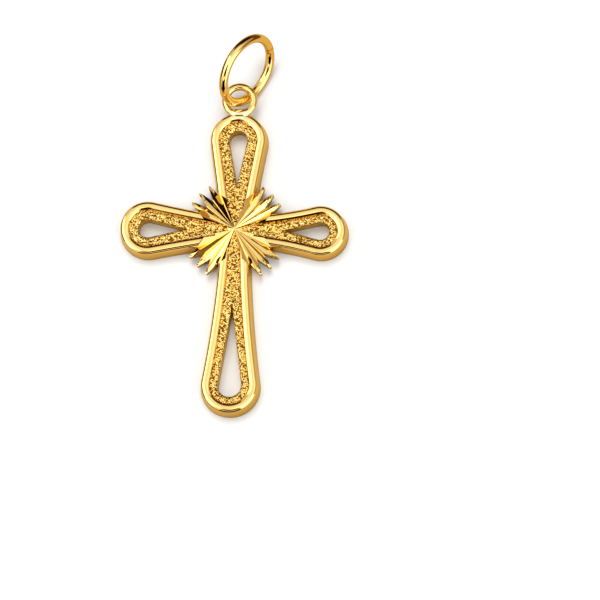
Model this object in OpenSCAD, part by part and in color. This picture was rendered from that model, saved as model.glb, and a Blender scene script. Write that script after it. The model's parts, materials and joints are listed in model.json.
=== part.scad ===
// Cross pendant with teardrop arms, a cut starburst and a jump ring.
// It lies on its flat back: +Z is up, +Y runs to the eye, +X to the right arm.
// The origin is on the back, under the point where the arms cross. Millimetres.

/* [Arms] */
// Reach of the upper arm from the crossing to its round end
upper_reach = 7.52; // [7.48:0.01:7.56]
// Radius of the upper arm's round end
upper_round = 1.82; // [1.79:0.01:1.84]
// Slope of the upper arm's sides to its axis, in degrees
upper_taper = 9.5; // [9:0.5:10]
// Reach of the left arm
left_reach = 7.26; // [7.2:0.02:7.3]
// Radius of the left arm's round end
left_round = 1.8; // [1.77:0.01:1.82]
// Slope of the left arm's sides beside its round end, in degrees
left_taper = 12; // [11.5:0.25:12.5]
// Radius of the hollow bend of the left arm's sides
left_bend = 100; // [90:5:120]
// Reach of the right arm
right_reach = 7.02; // [6.98:0.02:7.1]
// Radius of the right arm's round end
right_round = 1.69; // [1.66:0.01:1.71]
// Slope of the right arm's sides beside its round end, in degrees
right_taper = 14; // [13.5:0.25:14.25]
// Radius of the hollow bend of the right arm's sides
right_bend = 25; // [24:1:30]
// Reach of the lower arm
lower_reach = 11.68; // [11.6:0.02:11.8]
// Radius of the lower arm's round end
lower_round = 1.87; // [1.84:0.01:1.9]
// Slope of the lower arm's sides beside its round end, in degrees
lower_taper = 9.5; // [9:0.25:10]
// Radius of the hollow bend of the lower arm's sides
lower_bend = 65; // [62:1:75]

/* [Border and channel] */
// Height of the polished border's crown above the flat back
crown_z = 1.3; // [1.2:0.01:1.4]
// Width of the polished border, at the back
border_w = 0.62; // [0.6:0.01:0.64]
// How far the outer wall leans in from the back to the shoulder
wall_lean = 0.1; // [0.08:0.01:0.12]
// Radius of the crown across the border
crown_bend = 0.42; // [0.4:0.01:0.48]
// Radius of the border's outer shoulder
shoulder_bend = 0.18; // [0.14:0.01:0.2]
// Depth of the frosted channel below the crown
channel_drop = 0.16; // [0.12:0.01:0.2]

/* [Teardrop openings] */
// Radius of the upper opening's round end
upper_hole = 0.58; // [0.56:0.01:0.62]
// Distance from the crossing to the upper opening's point
upper_tip = 2.78; // [2.7:0.02:3]
// Radius of the left opening's round end
left_hole = 0.57; // [0.55:0.01:0.6]
// Distance from the crossing to the left opening's point
left_tip = 3.04; // [2.9:0.02:3.2]
// Radius of the right opening's round end
right_hole = 0.55; // [0.53:0.01:0.58]
// Distance from the crossing to the right opening's point
right_tip = 3.02; // [2.9:0.02:3.2]
// Radius of the lower opening's round end
lower_hole = 0.74; // [0.7:0.01:0.76]
// Distance from the crossing to the lower opening's point
lower_tip = 4.8; // [4.6:0.05:5.2]

/* [Starburst] */
// Reach of the prongs from the crossing
prong_reach = 3.26; // [3.2:0.02:3.3]
// Angle from one prong to the next, in degrees
prong_pitch = 13.2; // [12.6:0.2:14]
// Width of a prong's round tip
prong_tip_w = 0.14; // [0.12:0.01:0.18]
// Height of the prongs' tips above the flat back, at their underside
prong_lift = 0.45; // [0.3:0.05:0.55]
// Distance from the crossing to the notches between the prongs
notch_reach = 2.25; // [2.15:0.01:2.35]
// Height of the starburst at the crossing
burst_z = 1.42; // [1.38:0.01:1.46]
// Fall of each groove for each millimetre outwards
groove_fall = 0.2; // [0.17:0.01:0.22]
// Rise of the cut facets for each millimetre away from their groove
facet_rise = 0.7; // [0.6:0.05:0.8]

/* [Eye] */
// Distance from the crossing to the middle of the eye
eye_y = 8.24; // [8.22:0.01:8.28]
// Radius of the eye, to the middle of its wire
eye_r = 0.88; // [0.87:0.01:0.9]
// Thickness of the eye's wire
eye_wire = 0.45; // [0.42:0.01:0.46]
// Height of the eye's middle above the flat back
eye_z = 1.06; // [1.04:0.01:1.07]

/* [Jump ring] */
// Radius of the jump ring, to the middle of its wire
ring_r = 2.15; // [2.14:0.01:2.16]
// Thickness of the jump ring's wire
ring_wire = 0.56; // [0.53:0.01:0.57]
// Lean of the jump ring away from lying flat, in degrees
ring_lean = 67.5; // [67:0.5:68]
// Turn of the lean about the upright axis, in degrees
ring_turn = -30.5; // [-31:0.5:-30]
// Width of the jump ring's butt seam
seam_w = 0.04; // [0.02:0.01:0.06]

/* [Hidden] */
$fn = 96;
TURN = 0;
REACH = 1;
ROUND = 2;
TAPER = 3;
BEND = 4;
HOLE = 5;
TIP = 6;
// Arms: turn, reach, round end, slope, bend of the sides or 0, opening, opening's point
ARMS = [
    [0, upper_reach, upper_round, upper_taper, 0, upper_hole, upper_tip],
    [90, left_reach, left_round, left_taper, left_bend, left_hole, left_tip],
    [180, lower_reach, lower_round, lower_taper, lower_bend, lower_hole, lower_tip],
    [270, right_reach, right_round, right_taper, right_bend, right_hole, right_tip]
];
// Distance from the crossing at which the borders end, inside the starburst's core
root_end = 1;
core_r = 1.25;
// Steps round each arm's end, round each opening's end and along a bent side
round_steps = 32;
opening_steps = 40;
bend_steps = 8;
floor_z = crown_z - channel_drop;
crown_u = wall_lean + (border_w - wall_lean) * 0.55;
// Middle of the jump ring, which touches the surface at its lowest point
ring_at = [0.5, 9.9];
ring_z = ring_r * sin(ring_lean) + ring_wire / 2;
seam_turn = 73;
// Height of the uncut cone at the prongs' tips and at the notches
prong_tip_z = 0.95;
prong_root_z = 1.23;
// How much a leaf cut on the border draws back for each millimetre of its width
leaf_draw = 2.1;
gold = "#E8B83A";

function mid(a) = a[REACH] - a[ROUND];
function out(t) = [cos(t), -sin(t)];
// Point where an arm's round end meets its side
function touch(a) = [0, mid(a)] + a[ROUND] * out(a[TAPER]);
function bend_mid(a) = touch(a) + a[BEND] * out(a[TAPER]);
function end_slope(a) = asin((root_end - bend_mid(a)[1]) / a[BEND]);
// Half width of an arm at a distance on its side, less an inset from the outline
function half_width(a, d, inset) = a[BEND] == 0
    ? touch(a)[0] - (touch(a)[1] - d) * tan(a[TAPER]) - inset / cos(a[TAPER])
    : bend_mid(a)[0] - sqrt(pow(a[BEND] + inset, 2) - pow(d - bend_mid(a)[1], 2));
function ramp(low, high, steps) = [for (i = [0:steps]) low + (high - low) * i / steps];
function flip(stations) = [for (i = [len(stations) - 1:-1:0])
    [[-stations[i][0][0], stations[i][0][1]], [-stations[i][1][0], stations[i][1][1]]]];

// Stations down one side of an arm: a point of the outline and the way inwards
function side_stations(a) = a[BEND] == 0
    ? [[[half_width(a, root_end, 0), root_end], -out(a[TAPER])]]
    : [for (t = ramp(end_slope(a), a[TAPER], bend_steps)) if (t < a[TAPER])
        [bend_mid(a) - a[BEND] * out(t), -out(t)]];
function end_stations(a) = [for (t = ramp(-a[TAPER], 180 + a[TAPER], round_steps))
    [[0, mid(a)] + a[ROUND] * [cos(t), sin(t)], -[cos(t), sin(t)]]];
function arm_stations(a) = concat(side_stations(a), end_stations(a), flip(side_stations(a)));

// Section of the border: across from the outer wall's foot, and up from the back
crown_mid = [crown_u, crown_z - crown_bend];
shoulder_u = wall_lean + shoulder_bend;
shoulder_mid = [shoulder_u, crown_mid[1]
    + sqrt(pow(crown_bend - shoulder_bend, 2) - pow(crown_u - shoulder_u, 2))];
meet = atan2(shoulder_mid[1] - crown_mid[1], shoulder_mid[0] - crown_mid[0]);
lip = acos((border_w - crown_u) / crown_bend);
SECTION = concat([[0, 0]],
    [for (t = ramp(180, meet, 4)) shoulder_mid + shoulder_bend * [cos(t), sin(t)]],
    [for (t = ramp(meet, lip, 7)) if (t < meet) crown_mid + crown_bend * [cos(t), sin(t)]],
    [[border_w, 0]]);

// Crowned border of one arm, open at the crossing
module arm_border(a) {
    stations = arm_stations(a);
    n = len(stations);
    m = len(SECTION);
    points = [for (st = stations, p = SECTION)
        [st[0][0] + p[0] * st[1][0], st[0][1] + p[0] * st[1][1], p[1]]];
    walls = [for (i = [0:n - 2], j = [0:m - 1])
        let (k = (j + 1) % m) [i * m + j, i * m + k, (i + 1) * m + k, (i + 1) * m + j]];
    polyhedron(points, concat(walls,
        [[for (j = [m - 1:-1:0]) j], [for (j = [0:m - 1]) (n - 1) * m + j]]));
}

// Plan of the sheet under the frosted channel, buried in the border all round
module arm_sheet(a) {
    inset = border_w / 2;
    bulb = [0, mid(a)] + (a[ROUND] - inset) * out(a[TAPER]);
    waist = (bulb[1] + root_end) / 2;
    side = [for (d = [bulb[1], waist, 0]) [half_width(a, d, inset), d]];
    other = [for (p = [side[2], side[1], side[0]]) [-p[0], p[1]]];
    translate([0, mid(a)]) circle(a[ROUND] - inset);
    polygon(concat(side, other, [[0, mid(a)]]));
}

// Teardrop opening: a round end with straight sides that meet at its point
module arm_opening(a) {
    lean = asin(a[HOLE] / (mid(a) - a[TIP]));
    polygon(concat([[0, a[TIP]]], [for (t = ramp(-lean, 180 + lean, opening_steps))
        [0, mid(a)] + a[HOLE] * [cos(t), sin(t)]]));
}

function turned(p, t) = [p[0] * cos(t) - p[1] * sin(t), p[0] * sin(t) + p[1] * cos(t)];

// Plan of one quarter of the starburst, with its three prongs
module burst_plan() {
    half = prong_pitch / 2;
    tip = prong_tip_w / 2;
    prongs = [-1, 0, 1];
    side = [prong_reach - tip, tip];
    polygon(concat([[0, 0], turned([notch_reach, 0], 45 - 1.5 * prong_pitch)], [for (j = prongs, s = [-1, 1, 2])
        s == 2 ? turned([notch_reach, 0], 45 + j * prong_pitch + half)
            : turned([side[0], s * side[1]], 45 + j * prong_pitch)]));
    for (j = prongs) rotate(45 + j * prong_pitch) translate([side[0], 0]) circle(tip);
}

// Starburst before it is cut: a low cone over its core and its prongs, which
// thin from below towards their tips
module burst_blank() {
    intersection() {
        linear_extrude(burst_z * 1.2) {
            circle(core_r);
            for (q = [0:3]) rotate(90 * q) burst_plan();
        }
        rotate_extrude() polygon([[0, 0], [notch_reach, 0], [prong_reach, prong_lift],
            [prong_reach + 0.1, prong_tip_z], [prong_reach, prong_tip_z],
            [notch_reach, prong_root_z], [0, burst_z + 0.03]]);
    }
}

// Half space above one face of a groove along +X, on the side given by its sign
module above_facet(side) {
    big = 12;
    translate([0, 0, burst_z])
        rotate([0, atan(norm([groove_fall, facet_rise])), atan2(-side * facet_rise, groove_fall)])
            translate([-big / 2, -big / 2, 0]) cube(big);
}

// Tool for the groove along +X, with how far each of its sides reaches. A side
// that ends on the border draws back as it widens, which gives the cut a leaf shape.
module groove_tool(left_reach, right_reach) {
    wide = 0.5;
    start = 0.12;
    left = [left_reach, left_reach < prong_reach ? leaf_draw : 0];
    right = [right_reach, right_reach < prong_reach ? leaf_draw : 0];
    intersection() {
        linear_extrude(burst_z * 1.5)
            polygon([[start, -wide], [right[0] - right[1] * wide, -wide], [right[0], 0],
                [left[0], 0], [left[0] - left[1] * wide, wide], [start, wide]]);
        above_facet(1);
        above_facet(-1);
    }
}

// The four grooves of one quarter
module quarter_grooves() {
    far = prong_reach + 0.4;
    leaf = notch_reach + 0.35;
    for (g = [-1.5, -0.5, 0.5, 1.5]) rotate(45 + g * prong_pitch)
        groove_tool(g > 1 ? leaf : far, g < -1 ? leaf : far);
}

// Room for the frosted channel over the starburst's core
module channel_room(a) {
    fit = 0.003;
    ends = [0.2, core_r + 0.1];
    half = [for (d = ends) half_width(a, d, border_w) - fit];
    translate([0, 0, floor_z]) linear_extrude(crown_z)
        polygon([[half[0], ends[0]], [half[1], ends[1]], [-half[1], ends[1]],
            [-half[0], ends[0]]]);
}

module eye() {
    translate([0, eye_y, eye_z]) rotate_extrude()
        translate([eye_r, 0]) circle(eye_wire / 2);
}

// Cast cross with its starburst and its soldered eye
module cross() {
    color(gold) {
        difference() {
            union() {
                linear_extrude(floor_z) difference() {
                    for (a = ARMS) rotate(a[TURN]) arm_sheet(a);
                    for (a = ARMS) rotate(a[TURN]) arm_opening(a);
                }
                for (a = ARMS) rotate(a[TURN]) arm_border(a);
                burst_blank();
            }
            for (a = ARMS) rotate(a[TURN]) channel_room(a);
            for (q = [0:3]) rotate(90 * q) quarter_grooves();
        }
        eye();
    }
}

// Round wire ring that leans through the eye, with its seam at the top right
module jump_ring() {
    gap = asin(seam_w / ring_r);
    color(gold) translate([ring_at[0], ring_at[1], ring_z]) rotate([0, ring_lean, ring_turn])
        rotate(seam_turn) rotate_extrude(angle = 360 - gap)
            translate([ring_r, 0]) circle(ring_wire / 2);
}

cross();
jump_ring();
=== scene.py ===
"""Looks of a cast gold cross pendant, with frosted channels, a cut starburst and a jump ring.

Sizes are in millimetres while a piece is shaped, and in metres once it is finished.
+Z is up, +Y runs along the upper arm to the eye, and +X along the right arm.
"""
import json
import math
from typing import NamedTuple

import bmesh
import bpy
from mathutils import Matrix, Vector, noise

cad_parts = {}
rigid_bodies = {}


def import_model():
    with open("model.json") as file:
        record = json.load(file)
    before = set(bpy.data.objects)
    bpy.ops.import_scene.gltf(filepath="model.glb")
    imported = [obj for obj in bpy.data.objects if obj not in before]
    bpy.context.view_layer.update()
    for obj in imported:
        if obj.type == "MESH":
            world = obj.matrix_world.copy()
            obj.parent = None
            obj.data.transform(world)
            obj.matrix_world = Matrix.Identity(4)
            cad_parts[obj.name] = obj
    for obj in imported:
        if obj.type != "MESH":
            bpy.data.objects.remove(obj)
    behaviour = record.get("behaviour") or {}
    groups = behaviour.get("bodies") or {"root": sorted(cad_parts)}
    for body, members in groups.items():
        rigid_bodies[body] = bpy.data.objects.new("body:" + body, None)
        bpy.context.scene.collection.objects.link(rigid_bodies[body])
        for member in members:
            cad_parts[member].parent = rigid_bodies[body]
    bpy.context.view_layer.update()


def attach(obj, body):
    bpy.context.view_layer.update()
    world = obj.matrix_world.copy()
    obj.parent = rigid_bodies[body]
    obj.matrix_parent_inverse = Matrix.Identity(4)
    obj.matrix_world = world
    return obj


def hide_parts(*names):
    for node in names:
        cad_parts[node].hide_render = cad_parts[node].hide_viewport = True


bl_info = {
    "name": "Cross Pendant",
    "version": (1, 0, 0),
    "blender": (4, 5, 0),
    "location": "View3D > Sidebar > Pendant",
    "description": "Dresses a cast gold cross pendant and its jump ring",
    "category": "Object",
}

for thing in list(bpy.data.objects):
    bpy.data.objects.remove(thing)
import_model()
MM = 0.001
UP = Vector((0, 0, 1))


class Arm(NamedTuple):
    """One arm of the cross, with its outline and its teardrop opening."""
    name: str
    # Turn from the upper arm, in degrees
    turn: float
    # Distance from the crossing to the end
    reach: float
    # Radius of the round end
    round: float
    # Slope of the sides where they meet the round end, in degrees
    taper: float
    # Radius of the sides' hollow bend, or 0 where they are straight
    bend: float
    # Radius of the opening's round end
    hole: float
    # Distance from the crossing to the opening's point
    tip: float

    @property
    def mid(self):
        """Distance from the crossing to the middle of the round end."""
        return self.reach - self.round

    @property
    def touch(self):
        """Point of the outline where the round end meets the right side."""
        return Vector((0, self.mid, 0)) + self.round * outwards(self.taper)

    @property
    def bend_mid(self):
        """Middle of the right side's hollow bend."""
        return self.touch + self.bend * outwards(self.taper)

    def half_width(self, along, inset=0.0):
        """Half width at a distance from the crossing, less an inset from the outline."""
        if self.bend:
            reach = math.sqrt((self.bend + inset) ** 2 - (along - self.bend_mid.y) ** 2)
            return self.bend_mid.x - reach
        slope = math.radians(self.taper)
        return self.touch.x - (self.touch.y - along) * math.tan(slope) - inset / math.cos(slope)

    def place(self):
        """Turn from the upper arm's place to this arm's own."""
        return Matrix.Rotation(math.radians(self.turn), 4, "Z")


def outwards(degrees):
    """Direction out of the right side of an arm that slopes by an angle."""
    angle = math.radians(degrees)
    return Vector((math.cos(angle), -math.sin(angle), 0))


ARMS = (
    Arm("upper", 0, 7.52, 1.82, 9.5, 0, 0.58, 2.78),
    Arm("left", 90, 7.26, 1.8, 12, 100, 0.57, 3.04),
    Arm("lower", 180, 11.68, 1.87, 9.5, 65, 0.74, 4.8),
    Arm("right", 270, 7.02, 1.69, 14, 25, 0.55, 3.02),
)
# Radius of the starburst's core, and how far from the crossing the borders end inside it
CORE_R = 1.25
ROOT_END = 1.0
# Distance from the crossing at which the channels begin, and their half width there
HEART_R = 0.4
HEART_HALF = 0.13
# Share of a channel's width that is left where it runs out over the core's edge
NECK_SHARE = 0.82
# Place of the crown across the border's top, as a share of its width
CROWN_SHARE = 0.55
# Steps round each arm's end, and along each of its bent sides
END_STEPS = 112
BEND_STEPS = 24
# How far the grooves run past the prongs' tips, and past the notches on the side of the border
TIP_RUN = 0.4
BORDER_RUN = 0.35
# How far a groove's cut draws back from the border for each millimetre of its width
BORDER_DRAW = 2.1
# Middle of the prongs' tips, in each quarter between the arms
PRONG_TIPS = (2.45, 2.45, 0.7)
# Step of the frosted skins' mesh, and how far their edges are buried in the border
SKIN_STEP = 0.0175
SKIN_LAP = 0.05
# Distances under which two points are one, and under which an edge is too short to keep
MERGE = 1e-5
SLIVER = 1e-6


def millimetres(name, text, default):
    """A length of the pendant, kept in metres."""
    return bpy.props.FloatProperty(name=name, description=text, default=default * MM,
                                   min=0.0, precision=6, subtype="DISTANCE", unit="LENGTH")


def tint(name, text, default):
    """A colour of the pendant or its stage."""
    return bpy.props.FloatVectorProperty(name=name, description=text, default=default,
                                         size=3, min=0.0, max=1.0, subtype="COLOR")


def number(name, text, default, low=0.0, high=10.0):
    """A plain number."""
    return bpy.props.FloatProperty(name=name, description=text, default=default, min=low, max=high)


class PendantForm(bpy.types.PropertyGroup):
    """Sizes of the cross and its jump ring."""
    crown_z: millimetres("Border height", "Height of the polished border above the back", 1.3)
    border_w: millimetres("Border width", "Width of the polished border at the back", 0.62)
    wall_lean: millimetres("Wall lean", "How far the outer wall leans in up to the shoulder", 0.1)
    crown_bend: millimetres("Crown bend", "Radius of the crown across the border", 0.42)
    shoulder_bend: millimetres("Shoulder bend", "Radius of the border's outer shoulder", 0.24)
    channel_drop: millimetres("Channel depth", "Depth of the frosted channel below the crown", 0.16)
    band_rise: millimetres("Band rise", "Rise of the frosted band from its edges to its middle", 0.1)
    band_edge: millimetres("Band edge", "Drop of the band's edges below the channel's floor", 0.06)
    prong_reach: millimetres("Prong reach", "Reach of the prongs from the crossing", 3.26)
    prong_pitch: number("Prong pitch", "Angle from one prong to the next, in degrees", 13.2, 10, 16)
    prong_tip_w: millimetres("Prong tip", "Width of a prong's round tip", 0.14)
    prong_lift: millimetres("Prong lift", "Height of the prongs' undersides at their tips", 0.45)
    notch_reach: millimetres("Notch reach", "Distance from the crossing to the notches", 2.25)
    burst_z: millimetres("Starburst height", "Height of the starburst at the crossing", 1.42)
    groove_fall: number("Groove fall", "Fall of each groove for each unit outwards", 0.2, 0, 1)
    facet_rise: number("Facet rise", "Rise of a facet for each unit from its groove", 0.7, 0, 3)
    eye_y: millimetres("Eye place", "Distance from the crossing to the middle of the eye", 8.24)
    eye_r: millimetres("Eye radius", "Radius of the eye, to the middle of its wire", 0.88)
    eye_wire: millimetres("Eye wire", "Thickness of the eye's wire", 0.45)
    eye_z: millimetres("Eye height", "Height of the eye's middle above the back", 1.06)
    ring_r: millimetres("Ring radius", "Radius of the jump ring, to the middle of its wire", 2.15)
    ring_wire: millimetres("Ring wire", "Thickness of the jump ring's wire", 0.56)
    ring_lean: number("Ring lean", "Lean of the jump ring away from lying flat", 67.5, 0, 90)
    ring_turn: number("Ring turn", "Turn of the lean about the upright axis", -30.5, -180, 180)
    ring_x: millimetres("Ring aside", "Distance of the ring's middle to the right of the crossing", 0.5)
    ring_y: millimetres("Ring along", "Distance of the ring's middle along the upper arm", 9.9)
    seam_w: millimetres("Seam", "Width of the jump ring's butt seam", 0.04)
    seam_turn: number("Seam turn", "Place of the butt seam round the jump ring", 73, 0, 360)


class PendantFinish(bpy.types.PropertyGroup):
    """Colours and grain of the gold, with the painted shade of its frost."""
    polish: tint("Polished gold", "Colour of the polished gold", (0.93, 0.67, 0.24))
    frost: tint("Frosted gold", "Colour of the frosted gold", (0.97, 0.73, 0.30))
    wire: tint("Wire gold", "Colour of the jump ring's gold", (0.88, 0.63, 0.22))
    # Painted shade: the grains' flanks and the broad parts' middle are painted this deeper amber.
    valley: tint("Frost shade", "Colour of the grains' flanks and of the broad parts' middle",
                 (0.82, 0.51, 0.08))
    # Painted shade: the dimples between the grains are painted this dark brown.
    dimple: tint("Dimple shade", "Colour of the frost's dimples", (0.20, 0.075, 0.006))
    solder: tint("Solder", "Colour of the solder at the eye's foot", (0.96, 0.80, 0.46))
    # Colour of the dark specks at the prongs' tips
    pit: tint("Dark specks", "Colour of the pits at the prongs' tips", (0.16, 0.07, 0.02))
    grain: millimetres("Grain", "Distance from one grain of the frost to the next", 0.1)
    grain_height: millimetres("Grain height", "Height of the frost's grains", 0.065)


class PendantStage(bpy.types.PropertyGroup):
    """Floor, light and camera."""
    floor: tint("Floor", "Colour of the plain floor", (0.92, 0.92, 0.92))
    lift: number("Floor lift", "How bright the floor shows, as a share of its colour", 0.65)
    bounce: tint("Near floor", "Colour of the floor near the pendant, as the gold mirrors it",
                 (0.44, 0.33, 0.15))
    gloom: tint("Far floor", "Colour of the floor beyond that, as the gold mirrors it",
                (0.07, 0.04, 0.01))
    backdrop: tint("Backdrop", "Colour behind the floor", (1.0, 1.0, 1.0))
    light: number("Light", "Strength of the studio light", 0.94)
    lamp: number("Lamp", "Strength of the lamp behind the pendant", 2.4)
    shade: tint("Shade", "Colour of the studio's dim parts", (1.0, 0.52, 0.12))


def sizes():
    """The form's lengths in millimetres and its other numbers as they are."""
    form = bpy.context.scene.pendant_form
    found = {}
    for prop in form.bl_rna.properties:
        if prop.type == "FLOAT":
            value = getattr(form, prop.identifier)
            found[prop.identifier] = value / MM if prop.unit == "LENGTH" else value
    return type("Sizes", (), found)


# Shaping helpers

def verts_of(geom):
    """The vertices among a result's parts."""
    return [part for part in geom if isinstance(part, bmesh.types.BMVert)]


def edges_of(geom):
    """The edges among a result's parts."""
    return [part for part in geom if isinstance(part, bmesh.types.BMEdge)]


def rim_edges(bm):
    """The edges that have a face on one side only."""
    return [edge for edge in bm.edges if edge.is_boundary]


def far_edges(made):
    """The edges that join two fresh vertices of an extrusion."""
    fresh = set(verts_of(made))
    return [edge for edge in edges_of(made) if set(edge.verts) <= fresh]


def turn_plan(bm, degrees):
    """Turn a shape about the upright axis."""
    bmesh.ops.rotate(bm, matrix=Matrix.Rotation(math.radians(degrees), 3, "Z"), verts=bm.verts)


def add_arc(bm, vert, centre, angle, steps, axis=UP):
    """Run a chain of edges from a vertex round a centre, and give its last vertex."""
    made = bmesh.ops.spin(bm, geom=[vert], cent=centre, axis=axis, angle=math.radians(angle),
                          steps=steps, use_duplicate=False)
    return verts_of(made["geom_last"])[0]


def add_line(bm, vert, *points):
    """Run a chain of edges from a vertex through some points, and give its last vertex."""
    for point in points:
        made = bmesh.ops.extrude_vert_indiv(bm, verts=[vert])
        vert = made["verts"][0]
        vert.co = point
    return vert


def close_chain(bm, last, first):
    """Join the two ends of a chain and fill it with one face."""
    bm.edges.new((last, first))
    bmesh.ops.contextual_create(bm, geom=bm.edges[:])


def raise_plan(bm, bottom, top):
    """Make a prism of the faces of a flat plan."""
    bmesh.ops.translate(bm, vec=(0, 0, bottom), verts=bm.verts)
    made = bmesh.ops.extrude_face_region(bm, geom=bm.faces[:], use_keep_orig=True)
    bmesh.ops.translate(bm, vec=(0, 0, top - bottom), verts=verts_of(made["geom"]))
    bmesh.ops.recalc_face_normals(bm, faces=bm.faces)


def sweep_line(bm, loop, vec):
    """Carry a section along a straight line."""
    made = bmesh.ops.extrude_edge_only(bm, edges=edges_of(loop))["geom"]
    fresh = verts_of(made)
    bmesh.ops.translate(bm, vec=vec, verts=fresh)
    return fresh + far_edges(made)


def sweep_round(bm, loop, centre, angle, steps):
    """Carry a section round a centre."""
    return bmesh.ops.spin(bm, geom=loop, cent=centre, axis=UP, angle=math.radians(angle),
                          steps=steps, use_duplicate=False)["geom_last"]


def spin_full(bm, steps):
    """Turn a section about the upright axis into a closed shape."""
    bmesh.ops.spin(bm, geom=bm.verts[:] + bm.edges[:], cent=(0, 0, 0), axis=UP,
                   angle=math.tau, steps=steps, use_merge=True)
    bmesh.ops.remove_doubles(bm, verts=bm.verts, dist=MERGE)
    bmesh.ops.recalc_face_normals(bm, faces=bm.faces)


def wire_section(bm, ring_r, wire, filled=False):
    """Round section of a ring's wire, beside the upright axis."""
    place = Matrix.Translation((ring_r, 0, 0)) @ Matrix.Rotation(math.pi / 2, 4, "X")
    bmesh.ops.create_circle(bm, segments=48, radius=wire / 2, cap_ends=filled, matrix=place)


def tool_object(bm, name):
    """A shape that is only joined to others or cut from them, in millimetres."""
    mesh = bpy.data.meshes.new(name)
    bm.to_mesh(mesh)
    bm.free()
    thing = bpy.data.objects.new(name, mesh)
    bpy.context.scene.collection.objects.link(thing)
    return thing


def combine(base, steps):
    """Join shapes to a base or cut them from it, in order, and give the result as a bmesh."""
    for index, (operation, other) in enumerate(steps):
        cut = base.modifiers.new(f"step_{index}", "BOOLEAN")
        cut.operation = operation
        cut.solver = "MANIFOLD"
        cut.object = other
    graph = bpy.context.evaluated_depsgraph_get()
    result = bmesh.new()
    made = base.evaluated_get(graph)
    result.from_mesh(made.to_mesh())
    made.to_mesh_clear()
    for thing in [base] + [other for _, other in steps]:
        mesh = thing.data
        bpy.data.objects.remove(thing)
        bpy.data.meshes.remove(mesh)
    return result


def finish_piece(bm, name, material, node, crease=25.0):
    """Make a finished piece of a shape: in metres, smooth but for its creases, on its body."""
    bmesh.ops.dissolve_degenerate(bm, edges=bm.edges, dist=SLIVER)
    if any(not edge.is_manifold for edge in bm.edges):
        raise RuntimeError(f"{name} isn't closed")
    bmesh.ops.triangulate(bm, faces=bm.faces)
    bmesh.ops.scale(bm, vec=(MM, MM, MM), verts=bm.verts)
    mesh = bpy.data.meshes.new(name)
    bm.to_mesh(mesh)
    bm.free()
    mesh.shade_smooth()
    mesh.set_sharp_from_angle(angle=math.radians(crease))
    mesh.materials.append(material)
    piece = bpy.data.objects.new(name, mesh)
    bpy.context.scene.collection.objects.link(piece)
    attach(piece, "root")
    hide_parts(node)


# Cross

def border_section(bm, form):
    """Section of the border in the XZ plane, with its outer wall's foot at X = 0."""
    crown_x = form.wall_lean + (form.border_w - form.wall_lean) * CROWN_SHARE
    crown_z = form.crown_z - form.crown_bend
    reach = form.crown_bend - form.shoulder_bend
    shoulder_x = form.wall_lean + form.shoulder_bend
    shoulder_z = crown_z + math.sqrt(reach ** 2 - (crown_x - shoulder_x) ** 2)
    meet = math.degrees(math.atan2(shoulder_z - crown_z, shoulder_x - crown_x))
    lip = math.degrees(math.acos((form.border_w - crown_x) / form.crown_bend))
    first = bm.verts.new((0, 0, 0))
    top = add_line(bm, first, (form.wall_lean, 0, shoulder_z))
    axis = Vector((0, 1, 0))
    top = add_arc(bm, top, (shoulder_x, 0, shoulder_z), 180 - meet, steps=8, axis=axis)
    top = add_arc(bm, top, (crown_x, 0, crown_z), meet - lip, steps=20, axis=axis)
    last = add_line(bm, top, (form.border_w, 0, 0))
    bm.edges.new((last, first))


def arm_border(arm, form):
    """Crowned border of one arm, carried up its right side, round its end and down its left."""
    bm = bmesh.new()
    border_section(bm, form)
    slope = arm.taper
    if arm.bend:
        slope = math.degrees(math.asin((ROOT_END - arm.bend_mid.y) / arm.bend))
    start = Vector((arm.half_width(ROOT_END), ROOT_END, 0))
    turn_plan(bm, 180 - slope)
    bmesh.ops.translate(bm, vec=start, verts=bm.verts)
    root = bm.edges[:]
    loop = bm.verts[:] + root
    if arm.bend:
        loop = sweep_round(bm, loop, arm.bend_mid, slope - arm.taper, BEND_STEPS)
    else:
        loop = sweep_line(bm, loop, arm.touch - start)
    loop = sweep_round(bm, loop, (0, arm.mid, 0), 180 + 2 * arm.taper, END_STEPS)
    if arm.bend:
        far = arm.bend_mid * Vector((-1, 1, 0))
        loop = sweep_round(bm, loop, far, slope - arm.taper, BEND_STEPS)
    else:
        step = start - arm.touch
        loop = sweep_line(bm, loop, Vector((-step.x, step.y, 0)))
    bmesh.ops.contextual_create(bm, geom=root)
    bmesh.ops.contextual_create(bm, geom=edges_of(loop))
    bmesh.ops.recalc_face_normals(bm, faces=bm.faces)
    bmesh.ops.transform(bm, matrix=arm.place(), verts=bm.verts)
    return tool_object(bm, f"{arm.name}_border")


def arm_sheet(arm, form, top):
    """Sheet under one arm's channel, buried in the border all round."""
    inset = form.border_w / 2
    bm = bmesh.new()
    bulb = Vector((0, arm.mid, 0))
    first = bm.verts.new(bulb + (arm.round - inset) * outwards(arm.taper))
    last = add_arc(bm, first, bulb, 180 + 2 * arm.taper, steps=64)
    waist = (last.co.y + ROOT_END) / 2
    last = add_line(bm, last, *[Vector((side * arm.half_width(along, inset), along, 0))
                                for side, along in ((-1, waist), (-1, 0), (1, 0), (1, waist))])
    close_chain(bm, last, first)
    raise_plan(bm, 0, top)
    bmesh.ops.transform(bm, matrix=arm.place(), verts=bm.verts)
    return tool_object(bm, f"{arm.name}_sheet")


def arm_opening(arm):
    """Teardrop that is cut through one arm, from below its back to above its crown."""
    below, above = -1, 3
    bm = bmesh.new()
    lean = math.degrees(math.asin(arm.hole / (arm.mid - arm.tip)))
    bulb = Vector((0, arm.mid, 0))
    first = bm.verts.new(bulb + arm.hole * outwards(lean))
    last = add_arc(bm, first, bulb, 180 + 2 * lean, steps=96)
    last = add_line(bm, last, Vector((0, arm.tip, 0)))
    close_chain(bm, last, first)
    raise_plan(bm, below, above)
    bmesh.ops.transform(bm, matrix=arm.place(), verts=bm.verts)
    return tool_object(bm, f"{arm.name}_opening")


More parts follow.
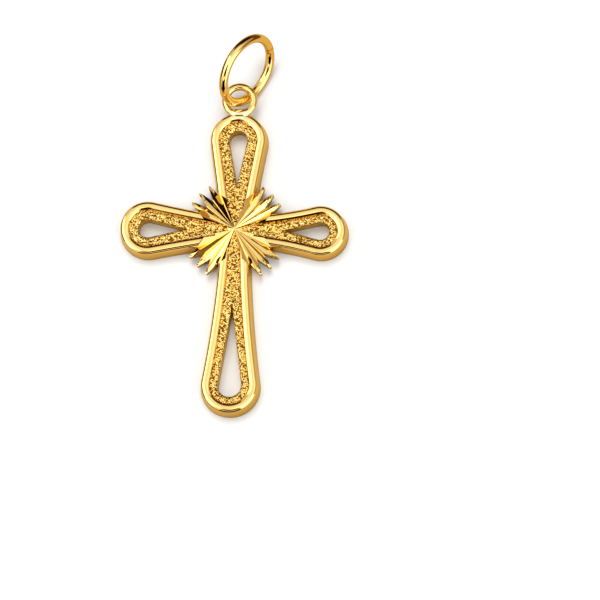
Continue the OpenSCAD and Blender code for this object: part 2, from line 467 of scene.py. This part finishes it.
def prong(turn, form):
    """One prong of the starburst before it is cut, from the crossing to its round tip.

    Prongs lap a little at their notches, so that no crack is left between them.
    """
    bm = bmesh.new()
    tip = form.prong_tip_w / 2
    lap = 1.03
    half = math.radians(form.prong_pitch / 2) * lap
    bmesh.ops.create_circle(bm, segments=24, radius=tip)
    bmesh.ops.translate(bm, vec=(form.prong_reach - tip, 0, 0), verts=bm.verts)
    for side in (-1, 1):
        bm.verts.new((form.notch_reach * math.cos(half), side * form.notch_reach * math.sin(half), 0))
    bm.verts.new((0, 0, 0))
    copy = bmesh.ops.duplicate(bm, geom=bm.verts[:])["geom"]
    bmesh.ops.translate(bm, vec=(0, 0, 2 * form.burst_z), verts=verts_of(copy))
    made = bmesh.ops.convex_hull(bm, input=bm.verts[:])
    spare = set(verts_of(made["geom_interior"]) + verts_of(made["geom_unused"]))
    bmesh.ops.delete(bm, geom=list(spare), context="VERTS")
    bmesh.ops.recalc_face_normals(bm, faces=bm.faces)
    turn_plan(bm, turn)
    return tool_object(bm, f"prong_{turn:.0f}")


def burst_cone(form):
    """Low cone that the starburst is cut from. Its prongs thin from below towards their tips."""
    bm = bmesh.new()
    reach, notch, rim = form.prong_reach, form.notch_reach, form.prong_reach + 0.1
    tip_z, notch_z, peak_z = 0.95, 1.23, form.burst_z + 0.03
    first = bm.verts.new((0, 0, 0))
    add_line(bm, first, (notch, 0, 0), (reach, 0, form.prong_lift), (rim, 0, tip_z),
             (reach, 0, tip_z), (notch, 0, notch_z), (0, 0, peak_z))
    spin_full(bm, steps=192)
    return tool_object(bm, "burst_cone")


def core_disc(form):
    """Round core of the starburst."""
    bm = bmesh.new()
    bmesh.ops.create_cone(bm, cap_ends=True, segments=96, radius1=CORE_R, radius2=CORE_R,
                          depth=2 * form.burst_z)
    bmesh.ops.translate(bm, vec=(0, 0, form.burst_z), verts=bm.verts)
    return tool_object(bm, "core_disc")


def groove_side(turn, side, reach, form):
    """Wedge that cuts one side of a groove, falling outwards.

    It is wide to its own side and laps the groove's line by a hair. A side that ends on the
    border draws back as it widens.
    """
    wide, lap, start, spare = 0.5, 0.01, 0.12, 0.5
    top = 1.5 * form.burst_z
    length = form.prong_reach + spare
    foot = form.burst_z - form.groove_fall * start
    bm = bmesh.new()
    first = bm.verts.new((start, 0, foot))
    last = add_line(bm, first, (start, side * wide, foot + form.facet_rise * wide),
                    (start, side * wide, top), (start, -side * lap, top),
                    (start, -side * lap, foot + form.facet_rise * lap))
    close_chain(bm, last, first)
    made = bmesh.ops.extrude_face_region(bm, geom=bm.faces[:], use_keep_orig=True)
    bmesh.ops.translate(bm, vec=(length, 0, -form.groove_fall * length), verts=verts_of(made["geom"]))
    draw = BORDER_DRAW if reach < form.prong_reach else 0
    bmesh.ops.bisect_plane(bm, geom=bm.verts[:] + bm.edges[:] + bm.faces[:], clear_outer=True,
                           plane_co=(reach, 0, 0), plane_no=(1, side * draw, 0))
    bmesh.ops.holes_fill(bm, edges=rim_edges(bm))
    bmesh.ops.recalc_face_normals(bm, faces=bm.faces)
    turn_plan(bm, turn)
    return tool_object(bm, f"groove_{turn:.0f}_{side}")


def channel_room(arm, form, floor):
    """Room for one arm's channel over the starburst's core, narrowing to the crossing."""
    past_edge = 0.1
    far = CORE_R + past_edge
    far_half = NECK_SHARE * arm.half_width(far, form.border_w)
    bm = bmesh.new()
    first = bm.verts.new((HEART_HALF, HEART_R, 0))
    last = add_line(bm, first, (far_half, far, 0), (-far_half, far, 0), (-HEART_HALF, HEART_R, 0))
    close_chain(bm, last, first)
    raise_plan(bm, floor, floor + form.crown_z)
    bmesh.ops.transform(bm, matrix=arm.place(), verts=bm.verts)
    return tool_object(bm, f"{arm.name}_room")


def eye_ring(form):
    """Soldered eye, with its wire thicker where the solder holds it.

    The swell is the share by which the wire thickens at the foot. It sets in softly at the start,
    a share of the way down from the eye's middle.
    """
    swell, start = 0.4, 0.7
    bm = bmesh.new()
    wire_section(bm, form.eye_r, form.eye_wire)
    spin_full(bm, steps=128)
    for vert in bm.verts:
        ray = Vector((vert.co.x, vert.co.y, 0)).normalized()
        foot = max(0.0, (-ray.y - start) / (1 - start))
        heart = ray * form.eye_r
        vert.co = heart + (vert.co - heart) * (1 + swell * foot * foot * (3 - 2 * foot))
    bmesh.ops.translate(bm, vec=(0, form.eye_y, form.eye_z), verts=bm.verts)
    return tool_object(bm, "eye_ring")


def eye_solder(form):
    """Low wedge of solder that runs out to both sides of the eye's foot, drooping to its ends."""
    half_size, droop, into_eye, sink = (0.62, 0.2, 0.3), 0.22, 0.06, 0.02
    bm = bmesh.new()
    bmesh.ops.create_uvsphere(bm, u_segments=48, v_segments=24, radius=1)
    bmesh.ops.scale(bm, vec=half_size, verts=bm.verts)
    for vert in bm.verts:
        vert.co.y -= droop * vert.co.x ** 2
    place = (0, form.eye_y - form.eye_r + into_eye, form.eye_z - sink)
    bmesh.ops.translate(bm, vec=place, verts=bm.verts)
    return tool_object(bm, "eye_solder")


def burst_turns(form, steps):
    """Turn and step of each prong or groove, some steps of a pitch from its quarter's middle."""
    return [(90 * quarter + 45 + step * form.prong_pitch, step)
            for quarter in range(4) for step in steps]


def star_blank(form):
    """Starburst before its grooves are cut."""
    steps = [("UNION", prong(turn, form)) for turn, _ in burst_turns(form, (-1, 0, 1))]
    star = combine(core_disc(form), steps + [("INTERSECT", burst_cone(form))])
    return tool_object(star, "star_blank")


def groove_sides(form):
    """Cuts of the starburst's grooves, the outermost ones ending on the borders beside them."""
    far = form.prong_reach + TIP_RUN
    near = form.notch_reach + BORDER_RUN
    return [groove_side(turn, side, near if side * step > 1 else far, form)
            for turn, step in burst_turns(form, (-1.5, -0.5, 0.5, 1.5)) for side in (-1, 1)]


class PENDANT_OT_cross_body(bpy.types.Operator):
    """Make the polished cross with its starburst and eye"""
    bl_idname = "pendant.cross_body"
    bl_label = "Cross body"

    def execute(self, context):
        form = sizes()
        floor = form.crown_z - form.channel_drop
        sheet_top = floor - 2 * form.band_edge
        first, *rest = [arm_sheet(arm, form, sheet_top) for arm in ARMS]
        steps = [("UNION", sheet) for sheet in rest]
        steps += [("DIFFERENCE", arm_opening(arm)) for arm in ARMS]
        steps += [("UNION", arm_border(arm, form)) for arm in ARMS]
        steps.append(("UNION", star_blank(form)))
        steps += [("DIFFERENCE", channel_room(arm, form, sheet_top)) for arm in ARMS]
        steps += [("DIFFERENCE", cut) for cut in groove_sides(form)]
        steps += [("UNION", eye_ring(form)), ("UNION", eye_solder(form))]
        body = combine(first, steps)
        material = polished_gold(form, context.scene.pendant_finish)
        finish_piece(body, "cross_body", material, "cross")
        return {"FINISHED"}


# Frosted channels

def hole_gap(arm, x, along):
    """Distance of a point of an arm's plan from its opening, and the opening's nearest point."""
    lean = math.asin(arm.hole / (arm.mid - arm.tip))
    dx, dy = abs(x), along - arm.mid
    side = math.copysign(1, x)
    if dy >= -dx * math.tan(lean):
        far = math.hypot(dx, dy) or 1e-9
        return far - arm.hole, (side * dx / far * arm.hole, arm.mid + dy / far * arm.hole)
    out = Vector((math.cos(lean), -math.sin(lean)))
    down = Vector((math.sin(lean), math.cos(lean)))
    rel = Vector((dx, along - arm.tip))
    gap = rel.dot(out)
    run = rel.dot(down)
    if run < 0:
        return rel.length, (0.0, arm.tip)
    near = down * run
    return gap, (side * near.x, arm.tip + near.y)


def border_gap(arm, x, along, inset):
    """Distance of a point of an arm's plan inwards from a line that is inset from its outline."""
    slope = math.radians(arm.taper)
    bulb = arm.round - inset
    if along > arm.mid - bulb * math.sin(slope):
        return bulb - math.hypot(x, along - arm.mid)
    return (arm.half_width(along, inset) - abs(x)) * math.cos(slope)


def pebbles(point):
    """Height of round pebbles, about one to each unit, from 0 between them to 1 on top."""
    pebble_r = 0.72
    near, _ = noise.voronoi(point, distance_metric="DISTANCE")
    return math.sqrt(max(0.0, 1 - (near[0] / pebble_r) ** 2))


def grain_height(point, size):
    """Height of the frost at a point, from 0 in its dimples to 1 on its grains."""
    small, shift = 0.6, Vector((31, 17, 5))
    return 0.7 * pebbles(point / size) + 0.3 * pebbles(point / (size * small) + shift)


def channel_plan(arm, form):
    """Fine flat grid over one arm's channel, cut to the border and to the opening."""
    low = HEART_R - SKIN_LAP
    high = arm.reach - form.border_w + SKIN_LAP
    wide = arm.round - form.border_w + SKIN_LAP
    bm = bmesh.new()
    bmesh.ops.create_grid(bm, x_segments=round(2 * wide / SKIN_STEP),
                          y_segments=round((high - low) / SKIN_STEP), size=1)
    bmesh.ops.scale(bm, vec=(wide, (high - low) / 2, 1), verts=bm.verts)
    bmesh.ops.translate(bm, vec=(0, (high + low) / 2, 0), verts=bm.verts)
    spare = [vert for vert in bm.verts
             if border_gap(arm, vert.co.x, vert.co.y, form.border_w - SKIN_LAP) < 0
             or hole_gap(arm, vert.co.x, vert.co.y)[0] < 0.3 * SKIN_STEP]
    bmesh.ops.delete(bm, geom=spare, context="VERTS")
    bmesh.ops.delete(bm, geom=[edge for edge in bm.edges if edge.is_wire], context="EDGES")
    bmesh.ops.delete(bm, geom=[vert for vert in bm.verts if not vert.link_faces], context="VERTS")
    return bm


def raise_frost(bm, arm, form, finish):
    """Shape a channel's grid as a grainy band that rises from its edges, drawn to the opening's line.

    The band is rounded over its first quarter millimetre. Farther from its edges it sinks again,
    where the channel is broad. The grain and that share of sinking are kept for the painted shade
    in the colours.
    """
    floor = form.crown_z - form.channel_drop
    round_w, broad_start, broad_w, broad_sink = 0.25, 0.2, 0.2, 0.6
    edge_grain, grain_gain, mean_grain = 0.35, 8, 0.6
    grain = bm.verts.layers.float.new("grain")
    valley = bm.verts.layers.float.new("valley")
    rim = [vert for vert in bm.verts if vert.is_boundary]
    for vert in bm.verts:
        gap, near = hole_gap(arm, vert.co.x, vert.co.y)
        edge = max(0.0, border_gap(arm, vert.co.x, vert.co.y, form.border_w))
        if vert.is_boundary and gap < 2 * SKIN_STEP:
            vert.co.x, vert.co.y = near
            gap = 0
        inside = min(gap, edge)
        climb = 1 - (1 - min(1.0, inside / round_w)) ** 2
        vert[valley] = max(0.0, min(1.0, (inside - broad_start) / broad_w))
        vert[grain] = grain_height(arm.place() @ vert.co, finish.grain / MM)
        rise = form.band_rise * (climb - broad_sink * vert[valley]) - form.band_edge
        amount = finish.grain_height / MM * min(1.0, edge_grain + grain_gain * inside)
        vert.co.z = floor + rise + amount * (vert[grain] - mean_grain)
    bmesh.ops.remove_doubles(bm, verts=rim, dist=0.1 * SKIN_STEP)


def channel_skin(arm, form, finish):
    """Frosted skin of one arm's channel, closed below and with its edge buried in the border."""
    bm = channel_plan(arm, form)
    raise_frost(bm, arm, form, finish)
    wall = bmesh.ops.extrude_edge_only(bm, edges=rim_edges(bm))["geom"]
    for vert in verts_of(wall):
        vert.co.z = form.crown_z - form.channel_drop - 3 * form.band_edge
    bmesh.ops.triangle_fill(bm, use_beauty=False, use_dissolve=False, edges=far_edges(wall))
    bmesh.ops.recalc_face_normals(bm, faces=bm.faces)
    bmesh.ops.transform(bm, matrix=arm.place(), verts=bm.verts)
    return bm


class PENDANT_OT_frosted_channels(bpy.types.Operator):
    """Make the frosted skins of the four channels"""
    bl_idname = "pendant.frosted_channels"
    bl_label = "Frosted channels"

    def execute(self, context):
        form = sizes()
        finish = context.scene.pendant_finish
        material = frosted_gold(finish)
        for arm in ARMS:
            skin = channel_skin(arm, form, finish)
            finish_piece(skin, f"{arm.name}_channel", material, "cross", crease=60)
        return {"FINISHED"}


# Jump ring

class PENDANT_OT_jump_ring(bpy.types.Operator):
    """Make the round wire ring that leans through the eye"""
    bl_idname = "pendant.jump_ring"
    bl_label = "Jump ring"

    def execute(self, context):
        form = sizes()
        lean, turn, seam = (math.radians(angle) for angle in
                            (form.ring_lean, form.ring_turn, form.seam_turn))
        bm = bmesh.new()
        wire_section(bm, form.ring_r, form.ring_wire, filled=True)
        bmesh.ops.spin(bm, geom=bm.faces[:], cent=(0, 0, 0), axis=UP, steps=200,
                       angle=math.tau - math.asin(form.seam_w / form.ring_r), use_duplicate=False)
        bmesh.ops.recalc_face_normals(bm, faces=bm.faces)
        ring_z = form.ring_r * math.sin(lean) + form.ring_wire / 2
        place = (Matrix.Translation((form.ring_x, form.ring_y, ring_z))
                 @ Matrix.Rotation(turn, 4, "Z") @ Matrix.Rotation(lean, 4, "Y")
                 @ Matrix.Rotation(seam, 4, "Z"))
        bmesh.ops.transform(bm, matrix=place, verts=bm.verts)
        material = wire_gold(context.scene.pendant_finish)
        finish_piece(bm, "jump_ring_wire", material, "jump_ring")
        return {"FINISHED"}


# Finishes

def add_node(tree, kind, inputs=(), **settings):
    """Add a node with its settings, and join or set its inputs by name or number."""
    made = tree.nodes.new(kind)
    for key, value in settings.items():
        setattr(made, key, value)
    for key, value in dict(inputs).items():
        if isinstance(value, bpy.types.NodeSocket):
            tree.links.new(value, made.inputs[key])
        else:
            made.inputs[key].default_value = value
    return made


def calc(tree, operation, *values):
    """Work out a number from sockets and plain numbers."""
    return add_node(tree, "ShaderNodeMath", enumerate(values), operation=operation).outputs[0]


def add_share(tree, base, value, share):
    """Add a share of a number to another."""
    return calc(tree, "MULTIPLY_ADD", value, share, base)


def blend(tree, factor, first, second):
    """Mix two colours."""
    made = add_node(tree, "ShaderNodeMix", {0: factor, 6: first, 7: second}, data_type="RGBA")
    return made.outputs[2]


def fade(tree, value, start, end):
    """Soft step from 0 to 1 as a value goes from its start to its end."""
    made = add_node(tree, "ShaderNodeMapRange", {"Value": value, "From Min": start, "From Max": end},
                    interpolation_type="SMOOTHSTEP")
    return made.outputs["Result"]


def cloud(tree, place, scale):
    """Soft random pattern, with its lumps about 1 / scale across."""
    made = add_node(tree, "ShaderNodeTexNoise", {"Vector": place, "Scale": scale, "Detail": 2.0})
    return made.outputs["Fac"]


def rgba(color, shade=1.0):
    """A colour made darker or lighter, for a colour socket."""
    return (color[0] * shade, color[1] * shade, color[2] * shade, 1)


def spot_mask(tree, place, centre, full, edge):
    """Soft round mask about a point: 1 within the full radius, and 0 beyond the edge."""
    gap = add_node(tree, "ShaderNodeVectorMath", {0: place, 1: centre}, operation="DISTANCE")
    return fade(tree, gap.outputs["Value"], edge, full)


def object_place(tree):
    """Place of a point of the object, in millimetres."""
    spot = add_node(tree, "ShaderNodeTexCoord").outputs["Object"]
    place = add_node(tree, "ShaderNodeVectorMath", {0: spot, "Scale": 1 / MM}, operation="SCALE")
    return place.outputs["Vector"]


def start_group(name, inputs, outputs):
    """Start a node group with named sockets, and give it with what it takes in and puts out."""
    group = bpy.data.node_groups.new(name, "ShaderNodeTree")
    for way, sockets in (("INPUT", inputs), ("OUTPUT", outputs)):
        for label, kind in sockets.items():
            group.interface.new_socket(label, in_out=way, socket_type=f"NodeSocket{kind}")
    given = group.nodes.new("NodeGroupInput").outputs
    out = group.nodes.new("NodeGroupOutput").inputs
    return group, given, out


def cast_tone_group():
    """Slow change of the alloy's tone, as a cast piece has."""
    name = "cast_tone"
    if name in bpy.data.node_groups:
        return bpy.data.node_groups[name]
    tree, given, out = start_group(
        name, {"Place": "Vector", "Gold": "Color", "Deep Gold": "Color", "Amount": "Float"},
        {"Color": "Color"})
    broad = cloud(tree, given["Place"], scale=0.35)
    fine = cloud(tree, given["Place"], scale=2.2)
    mixed = add_share(tree, calc(tree, "MULTIPLY", broad, 0.6), fine, share=0.4)
    amount = calc(tree, "MULTIPLY", fade(tree, mixed, start=0.38, end=0.66), given["Amount"])
    tree.links.new(blend(tree, amount, given["Gold"], given["Deep Gold"]), out["Color"])
    return tree


def polish_group():
    """Fine scratches and slow waves that polishing leaves."""
    name = "polish_marks"
    if name in bpy.data.node_groups:
        return bpy.data.node_groups[name]
    tree, given, out = start_group(
        name, {"Place": "Vector", "Roughness": "Float", "Scratches": "Float", "Waves": "Float"},
        {"Roughness": "Float", "Height": "Float"})
    thin = (1.2, 26, 26)
    lines = []
    for angle in (0.4, 1.3, 2.5):
        turned = add_node(tree, "ShaderNodeMapping", {
            "Vector": given["Place"], "Rotation": (0.3, 0.2, angle), "Scale": thin})
        line = cloud(tree, turned.outputs["Vector"], scale=1.0)
        lines.append(fade(tree, line, start=0.66, end=0.74))
    marks = calc(tree, "MAXIMUM", calc(tree, "MAXIMUM", lines[0], lines[1]), lines[2])
    wear = calc(tree, "MULTIPLY", marks, given["Scratches"])
    hazy = add_share(tree, given["Roughness"], cloud(tree, given["Place"], scale=1.6), share=0.03)
    waves = calc(tree, "MULTIPLY", cloud(tree, given["Place"], scale=0.9), given["Waves"])
    tree.links.new(add_share(tree, hazy, wear, share=0.12), out["Roughness"])
    tree.links.new(add_share(tree, waves, wear, share=-0.0006), out["Height"])
    return tree


def start_metal(name):
    """Start a metal, and give its material, node tree, shader and the place in millimetres."""
    material = bpy.data.materials.new(name)
    material.use_nodes = True
    tree = material.node_tree
    shader = tree.nodes["Principled BSDF"]
    shader.inputs["Metallic"].default_value = 1
    return material, tree, shader, object_place(tree)


def use_group(tree, group, inputs):
    """Place a node group in a material, and give what it puts out."""
    return add_node(tree, "ShaderNodeGroup", inputs, node_tree=group).outputs


def raise_surface(tree, shader, height):
    """Let a height in millimetres bend the light on a shader."""
    bump = add_node(tree, "ShaderNodeBump", {"Height": height, "Strength": 1.0, "Distance": MM})
    tree.links.new(bump.outputs["Normal"], shader.inputs["Normal"])


def polished_gold(form, finish):
    """Bright polish of the borders, the starburst and the eye.

    Painted shade darkens the walls towards their foot, the solder is paler, and the prongs' tips have
    dark specks.
    """
    material, tree, shader, place = start_metal("polished_gold")
    tone = use_group(tree, cast_tone_group(), {
        "Place": place, "Gold": rgba(finish.polish), "Deep Gold": rgba(finish.polish, shade=0.9),
        "Amount": 0.6})
    marks = use_group(tree, polish_group(), {
        "Place": place, "Roughness": 0.03, "Scratches": 0.35, "Waves": 0.003})
    height = add_node(tree, "ShaderNodeSeparateXYZ", {"Vector": place}).outputs["Z"]
    # Painted shade: the walls are painted darker towards their foot, in place of the shadowed floor
    # that they mirror there.
    painted_foot_shade = fade(tree, height, start=0.5, end=0.1)
    color = blend(tree, painted_foot_shade, tone["Color"], rgba(finish.polish, shade=0.7))
    patchy = fade(tree, cloud(tree, place, scale=5), start=0.3, end=0.5)
    eye_foot = (0, form.eye_y - form.eye_r, form.eye_z)
    solder = spot_mask(tree, place, eye_foot, full=0.5, edge=0.75)
    solder = calc(tree, "MULTIPLY", solder, patchy)
    color = blend(tree, solder, color, rgba(finish.solder))
    quarter = add_node(tree, "ShaderNodeVectorMath", {0: place}, operation="ABSOLUTE").outputs["Vector"]
    # Dark specks at the prongs' tips
    tips = spot_mask(tree, quarter, PRONG_TIPS, full=0.85, edge=1.15)
    specks = fade(tree, cloud(tree, place, scale=7), start=0.5, end=0.58)
    dark_specks = calc(tree, "MULTIPLY", tips, specks)
    color = blend(tree, dark_specks, color, rgba(finish.pit))
    tree.links.new(color, shader.inputs["Base Color"])
    rough = add_share(tree, marks["Roughness"], calc(tree, "ADD", dark_specks, solder), share=0.12)
    tree.links.new(rough, shader.inputs["Roughness"])
    raise_surface(tree, shader, marks["Height"])
    return material


def frosted_gold(finish):
    """Frost of the channels: bright grains, with painted shade on their flanks, in their dimples and in
    broad middles.
    """
    material, tree, shader, place = start_metal("frosted_gold")
    tone = use_group(tree, cast_tone_group(), {
        "Place": place, "Gold": rgba(finish.frost), "Deep Gold": rgba(finish.frost, shade=0.8),
        "Amount": 1.0})
    valley = add_node(tree, "ShaderNodeAttribute", attribute_name="valley").outputs["Fac"]
    grain = add_node(tree, "ShaderNodeAttribute", attribute_name="grain").outputs["Fac"]
    fine = cloud(tree, place, scale=22)
    height = add_share(tree, grain, fine, share=0.4)
    # Painted shade: low parts of the grain and the broad middle turn deeper amber, and the dimples dark
    # brown.
    flank = fade(tree, height, start=1.12, end=0.76)
    flank = calc(tree, "MAXIMUM", flank, calc(tree, "MULTIPLY", valley, 0.7))
    gold = blend(tree, flank, tone["Color"], rgba(finish.valley))
    hollow = fade(tree, height, start=0.86, end=0.52)
    tree.links.new(blend(tree, hollow, gold, rgba(finish.dimple)), shader.inputs["Base Color"])
    rough = add_share(tree, calc(tree, "MULTIPLY", hollow, 0.3), fine, share=0.12)
    tree.links.new(rough, shader.inputs["Roughness"])
    raise_surface(tree, shader, calc(tree, "MULTIPLY", fine, 0.02))
    return material


def wire_gold(finish):
    """Drawn and polished wire of the jump ring."""
    material, tree, shader, place = start_metal("wire_gold")
    tone = use_group(tree, cast_tone_group(), {
        "Place": place, "Gold": rgba(finish.wire), "Deep Gold": rgba(finish.wire, shade=0.92),
        "Amount": 0.5})
    marks = use_group(tree, polish_group(), {
        "Place": place, "Roughness": 0.03, "Scratches": 0.6, "Waves": 0.002})
    tree.links.new(tone["Color"], shader.inputs["Base Color"])
    tree.links.new(marks["Roughness"], shader.inputs["Roughness"])
    raise_surface(tree, shader, marks["Height"])
    return material


# Stage

class Card(NamedTuple):
    """One soft patch of light or shade in the studio, by the directions that it covers."""
    name: str
    # Middle and half width of the patch, in degrees from +X towards +Y
    turn: float
    half_turn: float
    # Upper and lower end, in degrees down from straight overhead
    top: float
    foot: float
    # Width of the soft edge all round, in degrees
    edge: float
    # Brightness, or below 0 the share of the light that a shade takes away
    strength: float


CARDS = (
    Card("left", 184, 34, 20, 58, 10, 1.9),
    Card("low_right", 323, 20, 34, 112, 8, 2.6),
    Card("right", 16, 26, 30, 82, 10, 0.55),
    Card("low_back", 140, 12, 58, 100, 8, 0.8),
    Card("low_front", 220, 18, 52, 100, 8, 0.9),
    Card("front_high", 300, 46, 4, 16, 6, 0.8),
    Card("front_shade", 266, 20, 24, 100, 8, -0.96),
    Card("back_shade", 86, 34, 52, 100, 8, -0.75),
    Card("front_bar", 264, 24, 55, 62, 3, 1.5),
)
# Light from all round, and from overhead, which fades between two tilts
SURROUND = 0.02
OVERHEAD = 1.2
OVERHEAD_FULL = 22.0
OVERHEAD_EDGE = 74.0
# Light under which a patch has the shade's whole colour, and over which it is white
DIM = 0.1
BRIGHT = 1.1


def by_ray(tree, mirrored, seen):
    """Show one shader to the camera, and light and mirror with another."""
    ray = add_node(tree, "ShaderNodeLightPath").outputs["Is Camera Ray"]
    return add_node(tree, "ShaderNodeMixShader", {0: ray, 1: mirrored.outputs[0], 2: seen.outputs[0]})


def studio_world(stage):
    """Soft studio light as the gold mirrors it, before a plain backdrop."""
    world = bpy.data.worlds.new("studio")
    world.use_nodes = True
    tree = world.node_tree
    tree.nodes.clear()
    way = add_node(tree, "ShaderNodeTexCoord").outputs["Generated"]
    parts = add_node(tree, "ShaderNodeSeparateXYZ", {"Vector": way}).outputs
    tilt = calc(tree, "DEGREES", calc(tree, "ARCCOSINE", parts["Z"]))
    level = add_node(tree, "ShaderNodeVectorMath", {0: way, 1: (1, 1, 0)}, operation="MULTIPLY")
    level = add_node(tree, "ShaderNodeVectorMath", {0: level.outputs["Vector"]}, operation="NORMALIZE")
    light = calc(tree, "MULTIPLY", fade(tree, tilt, OVERHEAD_EDGE, OVERHEAD_FULL), OVERHEAD)
    light = calc(tree, "ADD", light, SURROUND)
    for card in CARDS:
        turn = math.radians(card.turn)
        ahead = (math.cos(turn), math.sin(turn), 0)
        heading = add_node(tree, "ShaderNodeVectorMath", {0: level.outputs["Vector"], 1: ahead},
                           operation="DOT_PRODUCT", label=card.name)
        away = calc(tree, "DEGREES", calc(tree, "ARCCOSINE", heading.outputs["Value"]))
        wide = fade(tree, away, card.half_turn + card.edge, card.half_turn)
        high = calc(tree, "MULTIPLY", fade(tree, tilt, card.top - card.edge, card.top),
                    fade(tree, tilt, card.foot + card.edge, card.foot))
        patch = calc(tree, "MULTIPLY", calc(tree, "MULTIPLY", wide, high), card.strength)
        if card.strength < 0:
            patch = calc(tree, "MULTIPLY", patch, light)
        light = calc(tree, "ADD", light, patch)
    hue = blend(tree, fade(tree, light, DIM, BRIGHT), rgba(stage.shade), (1, 1, 1, 1))
    studio = add_node(tree, "ShaderNodeBackground", {
        "Color": hue, "Strength": calc(tree, "MULTIPLY", light, stage.light)})
    backdrop = add_node(tree, "ShaderNodeBackground", {"Color": rgba(stage.backdrop), "Strength": 1.0})
    mixed = by_ray(tree, studio, backdrop)
    add_node(tree, "ShaderNodeOutputWorld", {"Surface": mixed.outputs[0]})
    return world


def pale_floor(stage):
    """Plain floor that shows pale, and that the gold mirrors dimmer.

    The gold mirrors it warm near the pendant and dark beyond, but for a lit patch at its front right.
    """
    near_mid = (0, 2.5, 0)
    lit_mid = (24, -19, 0)
    material = bpy.data.materials.new("floor")
    material.use_nodes = True
    tree = material.node_tree
    tree.nodes.clear()
    place = object_place(tree)
    near = spot_mask(tree, place, near_mid, full=14, edge=19)
    shade = blend(tree, near, rgba(stage.gloom), rgba(stage.bounce))
    lit = spot_mask(tree, place, lit_mid, full=14, edge=22)
    shade = blend(tree, lit, shade, rgba(stage.floor, shade=0.6))
    mirrored = add_node(tree, "ShaderNodeBsdfDiffuse", {"Color": shade})
    seen = add_node(tree, "ShaderNodeBsdfDiffuse", {"Color": rgba(stage.floor, stage.lift)})
    mixed = by_ray(tree, mirrored, seen)
    add_node(tree, "ShaderNodeOutputMaterial", {"Surface": mixed.outputs[0]})
    return material


def hang_lamp(scene, stage):
    """Wide soft lamp behind the pendant, which lays its shadow on the floor but isn't mirrored."""
    spread, lean, turn = (math.radians(angle) for angle in (34, -25, 6))
    lamp = bpy.data.lights.new("back_lamp", "SUN")
    lamp.energy = stage.lamp
    lamp.angle = spread
    holder = bpy.data.objects.new("back_lamp", lamp)
    holder.rotation_euler = (lean, 0, turn)
    holder.visible_glossy = False
    scene.collection.objects.link(holder)


def stand_camera(scene):
    """Look down at the pendant from a little below it and to its right.

    The view is centred on a point that lies beside and below the crossing, as the picture shows it.
    """
    azimuth, height, roll = (math.radians(angle) for angle in (24, 77.4, 2))
    crossing, beside, below = Vector((0.062, -0.131, 1.4)), 4.012, 4.291
    sensor, distance, width = 36, 0.4, 0.03721
    back = Vector((math.sin(azimuth) * math.cos(height), -math.cos(azimuth) * math.cos(height),
                   math.sin(height)))
    right = Vector((back.z, 0, -back.x)).normalized()
    over = back.cross(right)
    turned_right = right * math.cos(roll) + over * math.sin(roll)
    turned_over = over * math.cos(roll) - right * math.sin(roll)
    target = crossing * MM + (beside * turned_right - below * turned_over) * MM
    camera = bpy.data.cameras.new("camera")
    camera.sensor_width = sensor
    camera.lens = sensor * distance / width
    camera.clip_start = 0.01
    holder = bpy.data.objects.new("camera", camera)
    scene.collection.objects.link(holder)
    place = Matrix((turned_right, turned_over, back)).transposed().to_4x4()
    holder.matrix_world = Matrix.Translation(target + back * distance) @ place
    scene.camera = holder


class PENDANT_OT_stage(bpy.types.Operator):
    """Lay the floor, set the lights and stand the camera"""
    bl_idname = "pendant.stage"
    bl_label = "Stage"

    def execute(self, context):
        scene = context.scene
        stage = scene.pendant_stage
        bm = bmesh.new()
        bmesh.ops.create_grid(bm, x_segments=1, y_segments=1, size=0.5)
        mesh = bpy.data.meshes.new("floor")
        bm.to_mesh(mesh)
        bm.free()
        mesh.materials.append(pale_floor(stage))
        floor = bpy.data.objects.new("floor", mesh)
        scene.collection.objects.link(floor)
        scene.world = studio_world(stage)
        scene.view_settings.view_transform = "Standard"
        hang_lamp(scene, stage)
        stand_camera(scene)
        return {"FINISHED"}


# Panel and registration

class PENDANT_PT_panel(bpy.types.Panel):
    """Steps and values of the pendant"""
    bl_idname = "PENDANT_PT_panel"
    bl_label = "Cross Pendant"
    bl_space_type = "VIEW_3D"
    bl_region_type = "UI"
    bl_category = "Pendant"

    def draw(self, context):
        layout = self.layout
        for step in STEPS:
            layout.operator(step.bl_idname)
        for key, kind in GROUPS:
            box = layout.box()
            box.label(text=kind.__doc__)
            for value in kind.__annotations__:
                box.prop(getattr(context.scene, key), value)


STEPS = (PENDANT_OT_stage, PENDANT_OT_cross_body, PENDANT_OT_frosted_channels, PENDANT_OT_jump_ring)
GROUPS = (
    ("pendant_form", PendantForm),
    ("pendant_finish", PendantFinish),
    ("pendant_stage", PendantStage),
)
CLASSES = (*[group for _, group in GROUPS], *STEPS, PENDANT_PT_panel)


def register():
    """Add the pendant's values, steps and panel."""
    for cls in CLASSES:
        bpy.utils.register_class(cls)
    for key, group in GROUPS:
        setattr(bpy.types.Scene, key, bpy.props.PointerProperty(type=group))


def unregister():
    """Take the pendant's values, steps and panel away."""
    for key, _ in GROUPS:
        delattr(bpy.types.Scene, key)
    for cls in reversed(CLASSES):
        bpy.utils.unregister_class(cls)


def main():
    """Build and dress the pendant."""
    register()
    bpy.ops.pendant.stage()
    bpy.ops.pendant.cross_body()
    bpy.ops.pendant.frosted_channels()
    bpy.ops.pendant.jump_ring()


if __name__ == "__main__":
    main()
